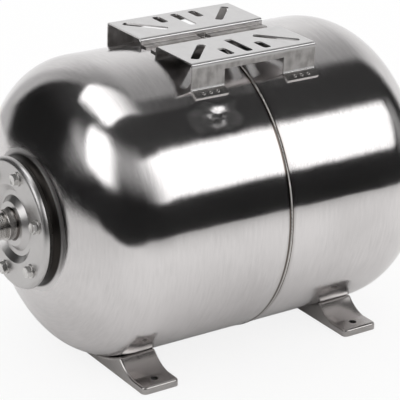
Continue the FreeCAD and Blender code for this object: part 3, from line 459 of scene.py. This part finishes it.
# Cover flange.
# Pressed from stainless plate with a rounded rim and a ring groove, ground satin and bolted to the neck ring.
def satin_plate(bench):
    """Ground plate: fine scratches in rings with a soft cloud in its brightness."""
    _, radius, across, up = ring_frame(bench)
    place = bench.place()
    grain = bench.noise(bench.vector(radius * 1500, across * 14, up * 14), 1.0, 3.0, 0.6)
    cloud = bench.noise(place, 35, 3.0)
    steel = bench.blend(cloud, (0.48, 0.468, 0.463, 1), (0.60, 0.588, 0.583, 1))
    bump = bench.bump(grain * 1.2e-5)
    return {"Base Color": steel,
            "Roughness": bench.step(grain * 0.6 + cloud * 0.4, 0.3, 0.7, 0.27, 0.37), "Normal": bump}


flange_steel = finish("flange_steel", satin_plate, metallic=1.0)
put_on(nodes["cover_flange"], flange_steel)


# Bolts and washers of the cover, and the nuts behind it.
# Six M8 hexagon bolts of plated steel with a chamfered crown and a dished top, each stopped at its own turn.
# They screw into blind nuts that are welded behind the neck ring.
face_reach = 0.2745            # reach from the seam to the cover's front face
bolt_circle = 0.0633
bolt_phase = math.radians(-13.6)
bolt_count = 6
bolt_radius = 0.004
bolt_length = 0.0205
bolt_end_radius = 0.0034
bolt_end_chamfer = 0.0006
head_flats = 0.013
head_height = 0.0055
crown_setback = 0.0004         # from the flats in to the crown's chamfer
crown_slope = math.tan(math.radians(30))
dish_radius, dish_floor_radius, dish_depth = 0.0049, 0.0043, 0.0003
dish_eye = 0.0002
washer_height = 0.0016
washer_radius = 0.0085
edge_break = 0.0002
head_steps = 72


def spun(outline, closed):
    """Points and faces of an outline spun about X. outline(turn) gives it as places along X and radii."""
    points, faces = [], []
    for step in range(head_steps):
        turn = 2 * math.pi * step / head_steps
        rows = outline(turn)
        count = len(rows)
        points += [(along, radius * math.sin(turn), radius * math.cos(turn)) for along, radius in rows]
        here, there = step * count, (step + 1) % head_steps * count
        faces += [(here + row, here + (row + 1) % count, there + (row + 1) % count, there + row)
                  for row in range(count if closed else count - 1)]
    if not closed:
        faces += [range(0, len(points), count), range(count - 1, len(points), count)]
    return points, faces


def bolt_outline(turn):
    """A bolt with the seat of its head at 0 and its crown towards -X."""
    corner = head_flats / 2 / math.cos((turn + math.pi / 6) % (math.pi / 3) - math.pi / 6)
    chamfer_radius = head_flats / 2 - crown_setback
    return [(bolt_length, bolt_end_radius), (bolt_length - bolt_end_chamfer, bolt_radius), (0.0, bolt_radius),
            (0.0, corner - edge_break), (-edge_break, corner),
            (-head_height + (corner - chamfer_radius) * crown_slope, corner), (-head_height, chamfer_radius),
            (-head_height, dish_radius), (-head_height + dish_depth, dish_floor_radius),
            (-head_height + dish_depth, dish_eye)]


def washer_outline(_):
    """A washer from 0 on, with its outer edges broken. It is the same at every turn."""
    return [(0.0, bolt_radius), (0.0, washer_radius - edge_break), (edge_break, washer_radius),
            (washer_height - edge_break, washer_radius), (washer_height, washer_radius - edge_break),
            (washer_height, bolt_radius)]


def circle_tree():
    """Copies of the source round a circle about the X axis, each turned about its own axis by chance."""
    bench, given = tree_with("circle", {
        "Count": "Int", "Circle": "Float", "Phase": "Float", "Middle": "Vector", "Most Turn": "Float",
        "Seed": "Int", "Finish": "Material"})
    index = bench.make("GeometryNodeInputIndex")
    turn = index / given["Count"] * (2 * math.pi) + given["Phase"]
    spot = bench.vector(0.0, turn.math("SINE") * given["Circle"], turn.math("COSINE") * given["Circle"])
    points = bench.make("GeometryNodePoints", None, {
        "Count": given["Count"], "Position": spot.plus(given["Middle"])})
    chance = bench.make("FunctionNodeRandomValue", {"data_type": "FLOAT"}, {
        "Min_001": 0.0, "Max_001": given["Most Turn"], "ID": index, "Seed": given["Seed"]}, "Value_001")
    copies = bench.make("GeometryNodeInstanceOnPoints", None, {
        "Points": points, "Instance": given["Geometry"], "Rotation": bench.vector(chance, 0.0, 0.0)})
    ends_with(bench, copies, given["Finish"])
    return bench.tree


def plated_bolt(bench):
    """Pale zinc plate with fine pits."""
    place = bench.place()
    pits = bench.noise(place, 900, 3.0)
    cloud = bench.noise(place, 220, 2.0)
    bump = bench.bump(pits * 1.5e-5)
    return {"Base Color": bench.blend(cloud, (0.58, 0.57, 0.555, 1), (0.76, 0.75, 0.735, 1)),
            "Roughness": bench.step(pits, 0.3, 0.7, 0.27, 0.37), "Normal": bump}


bolt_steel = finish("bolt_steel", plated_bolt, metallic=1.0)
circle = circle_tree()
seat_x = seam_x - (face_reach + washer_height)
for name, outline, closed, node in (("flange_bolts_drawn", bolt_outline, False, "flange_bolts"),
                                    ("flange_washers_drawn", washer_outline, True, "flange_washers")):
    points, faces = spun(outline, closed)
    source = bpy.data.meshes.new(name + "_source")
    source.from_pydata(points, [], faces)
    ring = converted(name, circle, {
        "Count": bolt_count, "Circle": bolt_circle, "Phase": bolt_phase, "Most Turn": math.pi / 3, "Seed": 4,
        "Middle": (seat_x, 0.0, axis_z), "Finish": bolt_steel}, source)
    seat(ring, node)
put_on(nodes["weld_nuts"], bolt_steel)


# Connection nipple.
# Turned pipe nipple with a G1 thread, an undercut and a plain collar, welded to the boss of the cover.
nipple_radius = 0.0166
nipple_bore = 0.013
nipple_reach = 0.032
collar_radius = 0.0186
collar_length = 0.011
collar_chamfer = 0.0006
relief_depth = 0.0016
relief_width = 0.002
lead_in = 0.0015
bore_chamfer = 0.0004
spigot_back = 0.0045           # how far it sits in the cover
thread_pitch = 0.002309
thread_depth = 0.00135
thread_roundness = 0.8
thread_start = face_reach + collar_length + relief_width
thread_end = face_reach + nipple_reach - lead_in
thread_rows = 110
hair = 1e-6                    # allowance where two sizes are compared


def threaded(reach, radius, angle):
    """Right-hand thread between the undercut and the lead-in, where the outline runs at full radius."""
    if reach < thread_start or radius < nipple_radius - relief_depth - hair:
        return radius
    crest = 0.5 + 0.5 * math.cos(2 * math.pi * (reach / thread_pitch - angle / (2 * math.pi)))
    return min(radius, nipple_radius - thread_depth * (1 - crest) ** thread_roundness)


cuts = [thread_start + relief_depth + (thread_end - thread_start - relief_depth) * row / thread_rows
        for row in range(thread_rows + 1)]
collar_end, nipple_end = face_reach + collar_length, face_reach + nipple_reach
nipple = turned("connection_nipple_drawn", [
    (face_reach - spigot_back, nipple_bore), (face_reach - spigot_back, nipple_radius),
    (face_reach, nipple_radius), (face_reach, collar_radius),
    (collar_end - collar_chamfer, collar_radius), (collar_end, collar_radius - collar_chamfer),
    (collar_end, nipple_radius - relief_depth), (thread_start, nipple_radius - relief_depth),
    *[(cut, nipple_radius) for cut in cuts],
    (thread_end + lead_in - edge_break, nipple_radius - lead_in + edge_break),
    (nipple_end, nipple_radius - lead_in), (nipple_end, nipple_bore + bore_chamfer),
    (nipple_end - bore_chamfer, nipple_bore)], -1, threaded)


def turned_steel(bench):
    """Lathe marks in rings, finer than the thread."""
    reach, radius, across, up = ring_frame(bench)
    marks = bench.noise(bench.vector(reach * 4000 + radius * 4000, across * 3, up * 3), 1.0, 2.0)
    cloud = bench.noise(bench.place(), 120, 3.0)
    bump = bench.bump(marks * 8e-6)
    return {"Base Color": bench.blend(cloud, (0.42, 0.405, 0.39, 1), (0.56, 0.545, 0.53, 1)),
            "Roughness": bench.step(marks, 0.3, 0.7, 0.2, 0.3), "Normal": bump}


nipple_steel = finish("nipple_steel", turned_steel, metallic=1.0)
put_on(nipple, nipple_steel)
seat(nipple, "connection_nipple")
put_on(nodes["nipple_weld"], weld_steel)


# Rubber bladder.
# Food-safe black rubber, closed in by the shell, with the dull skin of a moulding.
def moulded_rubber(bench):
    """Dull black with a fine grain and a grey bloom."""
    place = bench.place()
    grain = bench.noise(place, 800, 3.0)
    bloom = bench.noise(place, 30, 3.0)
    bump = bench.bump(grain * 3e-5)
    return {"Base Color": bench.blend(bloom, (0.012, 0.012, 0.013, 1), (0.035, 0.034, 0.033, 1)),
            "Roughness": bench.step(grain, 0.3, 0.7, 0.55, 0.75), "Normal": bump}


rubber = finish("moulded_rubber", moulded_rubber)
put_on(nodes["bladder"], rubber)


# Air valve in the rear head.
# Brass car-type valve with a hexagon, on a rubber washer in a welded socket, under a ribbed plastic cap.
def valve_brass(bench):
    """Turned brass with a little tarnish."""
    place = bench.place()
    tarnish = bench.noise(place, 260, 3.0)
    marks = bench.noise(place, 1600, 2.0)
    bump = bench.bump(marks * 8e-6)
    return {"Base Color": bench.blend(tarnish, (0.55, 0.40, 0.17, 1), (0.78, 0.60, 0.30, 1)),
            "Roughness": bench.step(marks, 0.3, 0.7, 0.2, 0.36), "Normal": bump}


def cap_plastic(bench):
    """Black plastic with a fine grain."""
    grain = bench.noise(bench.place(), 1500, 2.0)
    bump = bench.bump(grain * 1.5e-5)
    return {"Base Color": bench.blend(grain, (0.010, 0.010, 0.011, 1), (0.022, 0.022, 0.023, 1)),
            "Roughness": bench.step(grain, 0.3, 0.7, 0.35, 0.5), "Normal": bump}


brass = finish("valve_brass", valve_brass, metallic=1.0)
put_on(nodes["valve_socket"], nipple_steel)
put_on(nodes["valve_socket_weld"], weld_steel)
put_on(nodes["valve_seal"], rubber)
put_on(nodes["valve_body"], brass)
put_on(nodes["valve_core"], brass)
cap_start, cap_end = (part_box("valve_cap")[end].x - seam_x for end in (0, 1))
cap_radius = 0.0056
cap_edge = 0.0012              # rounding of its closed end
cap_break = 0.0003
cap_floor = 0.0015
cap_bore = 0.00405
cap_ribs = 24
cap_rib_depth = 0.00045
cap_rib_roundness = 0.7
rib_start, rib_full = 0.0018, 0.0022          # from the open end: where the lip ends and the ribs begin
rib_stop = cap_end - cap_edge - 0.0001


def ribbed(reach, radius, angle):
    """Grip ribs along the cap, between its lip and its rounded end."""
    if radius < cap_radius - hair or reach < cap_start + rib_full - hair or reach > rib_stop + hair:
        return radius
    return radius - cap_rib_depth * (0.5 - 0.5 * math.cos(cap_ribs * angle)) ** cap_rib_roundness


cap = turned("valve_cap_drawn", [
    (cap_start, cap_bore), (cap_start, cap_radius - cap_break), (cap_start + cap_break, cap_radius),
    (cap_start + rib_start, cap_radius), (cap_start + rib_full, cap_radius), (rib_stop, cap_radius),
    *arc(cap_end - cap_edge, cap_radius - cap_edge - cap_break, cap_edge, math.pi / 2, 0, 8),
    (cap_end, 0.0), (cap_end - cap_floor, 0.0), (cap_end - cap_floor, cap_bore)], 1, ribbed)
put_on(cap, finish("cap_plastic", cap_plastic))
seat(cap, "valve_cap")


# Feet.
# Pressed from 2 mm stainless sheet with a satin rolled surface. The saddle follows the shell, and each pad
# has a bolt hole.
def foot_sheet(bench):
    """Rolled sheet that mirrors dimly, with soft patches."""
    place = bench.place()
    x, y, z = bench.parts(place)
    rolled = bench.noise(bench.vector(x * 900, y * 30, z * 30), 1.0, 3.0)
    cloud = bench.noise(place, 28, 3.0)
    bump = bench.bump(rolled * 2e-6 + cloud * 2e-5)
    return {"Base Color": bench.blend(cloud, (0.42, 0.403, 0.394, 1), (0.52, 0.50, 0.49, 1)),
            "Roughness": bench.step(rolled * 0.5 + cloud * 0.5, 0.3, 0.7, 0.18, 0.27), "Normal": bump}


foot_steel = finish("foot_steel", foot_sheet, metallic=1.0)
for foot in ("front_foot", "rear_foot"):
    put_on(nodes[foot], foot_steel)


# Pump brackets.
# Bent from 2 mm stainless sheet, with a straight rolled grain across the tank and stains down the legs, and
# spot-welded to the shell by the tabs at the foot of the legs.
# Painted light: the top and the bend between leg and tab are coloured paler than the legs.
plate_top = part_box("near_bracket")[1].z
bend_start, bend_end = -0.0077, -0.0039             # heights of the top bend, from the plate's top, over which the top's painted light fades in
tab_full, tab_end = -0.0341, -0.0329                # heights at which the tabs end
bend_highlight_heights = (-0.0337, -0.0323, -0.0313, -0.0298)     # heights of the painted highlight on the bend between leg and tab


def bracket_sheet(bench):
    """Top painted pale with light, stained legs, and glossier tabs below a bend with a painted highlight."""
    place = bench.place()
    x, y, z = bench.parts(place)
    grain = bench.noise(bench.vector(x * 700, y * 25, z * 25), 1.0, 3.0, 0.6)
    stains = bench.noise(bench.vector(x * 150, y * 50, z * 50), 1.0, 4.0)
    cloud = bench.noise(place, 75, 4.0)
    height = z - plate_top
    # painted light: the top and its bend get a paler colour than the legs, as if lit from above
    top = bench.step(height, bend_start, bend_end)
    tab = bench.step(height, tab_full, tab_end, 1.0, 0.0)
    # painted highlight: the bend between leg and tab gets the top's pale colour
    bend_highlight = bench.window(height, *bend_highlight_heights)
    leg = bench.blend(bench.step(stains * 0.45 + cloud * 0.55, 0.36, 0.62),
                      (0.38, 0.363, 0.354, 1), (0.58, 0.562, 0.552, 1))
    plain = bench.blend(cloud, (0.68, 0.67, 0.668, 1), (0.76, 0.75, 0.748, 1))
    rolled = bench.step(grain * 0.6 + stains * 0.4, 0.3, 0.7, 0.36, 0.44)
    return {
        "Base Color": bench.blend(tab, bench.blend(top.math("MAXIMUM", bend_highlight), leg, plain),
                                  (0.50, 0.483, 0.472, 1)),
        "Roughness": rolled - top * 0.08 - bend_highlight * 0.12 - tab * 0.2,
        "Normal": bench.bump(grain * 2e-6 + cloud * 4e-5),
    }


bracket_steel = finish("bracket_steel", bracket_sheet, metallic=1.0)
for bracket in ("near_bracket", "far_bracket"):
    put_on(nodes[bracket], bracket_steel)


# Camera.
# Stands in front and to the left, a little above, at the place that the picture's outline gives.
camera_from_seam = Vector((-1.2768, -1.8363, 0.8941))
camera_turn, camera_lift, camera_roll = math.radians(-34.709), math.radians(22.376), math.radians(1.805)
camera = bpy.data.cameras.new("camera")
camera.sensor_fit, camera.sensor_width, camera.lens = "HORIZONTAL", 36, 172.9
back = Vector((math.sin(camera_turn) * math.cos(camera_lift), -math.cos(camera_turn) * math.cos(camera_lift),
               math.sin(camera_lift)))
level = Vector((0, 0, 1)).cross(back).normalized()
upright = back.cross(level)
rolled_right = math.cos(camera_roll) * level + math.sin(camera_roll) * upright
rolled_up = math.cos(camera_roll) * upright - math.sin(camera_roll) * level
stand = Matrix((rolled_right, rolled_up, back)).transposed().to_4x4()
stand.translation = Vector((seam_x, 0, axis_z)) + camera_from_seam
camera_object = bpy.data.objects.new("camera", camera)
camera_object.matrix_world = stand
bpy.context.scene.collection.objects.link(camera_object)
bpy.context.scene.camera = camera_object


# Studio round the tank, white to the camera.
# The steel mirrors a dark room: a large soft box in front, a narrow one to the left, one overhead, and a pale
# wall behind. Headings count from the front towards the right and rises from level, both in degrees.
world = bpy.data.worlds.new("studio")
world.use_nodes = True
world.node_tree.nodes.clear()
studio = Bench(world.node_tree)
look_x, look_y, look_z = studio.parts(studio.make("ShaderNodeTexCoord", None, None, "Generated"))
to_degrees = 180 / math.pi
heading = look_x.math("ARCTAN2", look_y * -1.0) * to_degrees
round_heading = heading + heading.math("LESS_THAN", 0.0) * 360
rise = look_z.math("ARCSINE") * to_degrees

# The front box leans, and its far end narrows to the right.
slant = heading + (rise - 40.0) * 0.6
box_top = rise + (heading - 15.0).math("MAXIMUM", 0.0) * 0.17
box_foot = rise + (heading - 22.0).math("MINIMUM", 0.0) * 0.12
box_end = heading + (33.0 - rise).math("MAXIMUM", 0.0) * 0.8
main_box = (studio.window(slant, -32, 34, 200, 201) * studio.step(box_end, 53, 62, 1.0, 0.0)
            * studio.step(box_foot, 13.5, 16.5) * studio.step(box_top, 46, 51.5, 2.0, 0.0))

# The left box has a peaked top and a slanted foot. A dim strip stands on its far side, and a faint light
# fills the gap to the front box.
lift = studio.make("ShaderNodeMapRange", None, {
    "Value": heading, "From Min": -100.0, "From Max": -66.0, "To Min": 0.0, "To Max": 7.0})
left_top = rise + (heading + 82.0).math("ABSOLUTE") * 0.33
left_box = (studio.window(heading, -107, -103, -84, -56) * studio.step(rise - lift, 8, 13)
            * studio.step(left_top, 49, 55, 2.0, 0.0))
left_strip = studio.window(heading, -126, -112, -106, -100) * studio.window(rise, 1, 8, 14, 42) * 0.58
between_boxes = studio.window(heading, -90, -60, -15, 0) * studio.window(rise, 17, 40, 44, 62) * 0.38

# The box overhead is laid out on a level sheet, one unit above the tank.
overhead_x = look_x / look_z.math("MAXIMUM", 0.05)
overhead_y = look_y / look_z.math("MAXIMUM", 0.05)
overhead_back = overhead_y + (overhead_x + 0.1).math("MAXIMUM", 0.0) * 0.8
overhead_box = (studio.window(overhead_x, -0.61, -0.57, -0.3, 0.7) * studio.step(overhead_y, -0.13, -0.08)
                * studio.step(overhead_x + overhead_y, -0.62, -0.57)
                * studio.step(overhead_back, 0.60, 0.64, 1.0, 0.0) * look_z.math("GREATER_THAN", 0.2) * 1.9)

# The wall behind darkens upwards and has a dimmer far end.
wall_start = round_heading - rise * 0.2
wall_height = studio.window(rise, -40, -25, 60, 66)
wall = (studio.step(wall_start, 84, 98) * studio.window(round_heading, 80, 81, 172, 188)
        * studio.step(rise, 15, 60, 0.93, 0.3) * wall_height)
wall_end = (studio.window(round_heading, 176, 188, 192, 197) * studio.step(rise, 10, 55, 0.6, 0.3)
            * wall_height)

# A dim card to the right, the ceiling, and the faint light of the room itself.
right_card = studio.window(heading, 53, 56, 73, 76) * studio.window(rise, 3, 6, 28, 36) * 0.33
ceiling = studio.step(rise, 12, 45, 0.0, 0.03)
room_glow = 0.014
glow = (main_box + room_glow + left_box + left_strip + between_boxes + overhead_box + wall + wall_end
        + right_card + ceiling)

rays = studio.make("ShaderNodeLightPath", None, None, None)
mirrored = Wire(studio, rays.outputs["Is Glossy Ray"]).math(
    "MAXIMUM", Wire(studio, rays.outputs["Is Transmission Ray"]))
strength = 1.0 + mirrored * (glow - 1.0)
sky = studio.make("ShaderNodeBackground", None, {"Color": (1.0, 1.0, 1.0, 1.0), "Strength": strength})
studio.make("ShaderNodeOutputWorld", None, {"Surface": sky}, None)
bpy.context.scene.world = world
world.cycles.sampling_method = "NONE"


# Floor.
# White studio paper, nearly shadowless to the camera, that lights the underside of the tank. Its rim is where
# the dark band in the tank's mirror image begins.
# Its colour is painted darker towards the front and the left, as shade on the paper that the tank mirrors.
rim = [(-1.45, 1.5, 0), (-1.34, 0.4, 0), (-1.24, -0.32, 0), (-0.84, -0.68, 0), (-0.64, -1.12, 0),
       (-0.60, -1.55, 0), (0.30, -1.72, 0), (0.95, -1.32, 0), (1.5, -0.9, 0), (1.5, 1.5, 0)]
floor_glow = 0.85              # share of plain white that the camera sees
foot_half, foot_clear = 0.022, 0.026          # the glow fades in round each foot, to leave its own shadow
foot_end, foot_end_clear = 0.138, 0.144
floor_mesh = bpy.data.meshes.new("floor")
floor_mesh.from_pydata(rim, [], [range(len(rim))])
floor = bpy.data.objects.new("floor", floor_mesh)
bpy.context.scene.collection.objects.link(floor)
paper = bpy.data.materials.new("white_floor")
paper.use_nodes = True
paper.node_tree.nodes.clear()
bench = Bench(paper.node_tree)
rays = bench.make("ShaderNodeLightPath", None, None, None)
seen = Wire(bench, rays.outputs["Is Camera Ray"])
bright = bench.make("ShaderNodeEmission", None, {"Color": (1, 1, 1, 1), "Strength": 1.0})
x, y, z = bench.parts(bench.place())
# painted shade: the paper's colour darkens towards the front and the left, mostly seen in the tank's mirror
# image
far = (bench.step(y * -1.0, 0.5, 1.65) * 0.5).math("MAXIMUM", bench.step(x * -1.0, 0.1, 1.3) * 0.22)
colour = bench.blend(far, (0.98, 0.975, 0.97, 1), (0, 0, 0, 1))
matte = bench.make("ShaderNodeBsdfDiffuse", None, {"Color": colour})
front_gap, rear_gap = ((x - (low.x + high.x) / 2).math("ABSOLUTE")
                       for low, high in (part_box("front_foot"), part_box("rear_foot")))
open_floor = bench.step(front_gap.math("MINIMUM", rear_gap), foot_half, foot_clear).math(
    "MAXIMUM", bench.step(y.math("ABSOLUTE"), foot_end, foot_end_clear))
surface = bench.make("ShaderNodeMixShader", None, {0: seen * floor_glow * open_floor, 1: matte, 2: bright})
bench.make("ShaderNodeOutputMaterial", None, {"Surface": surface}, None)
floor_mesh.materials.append(paper)
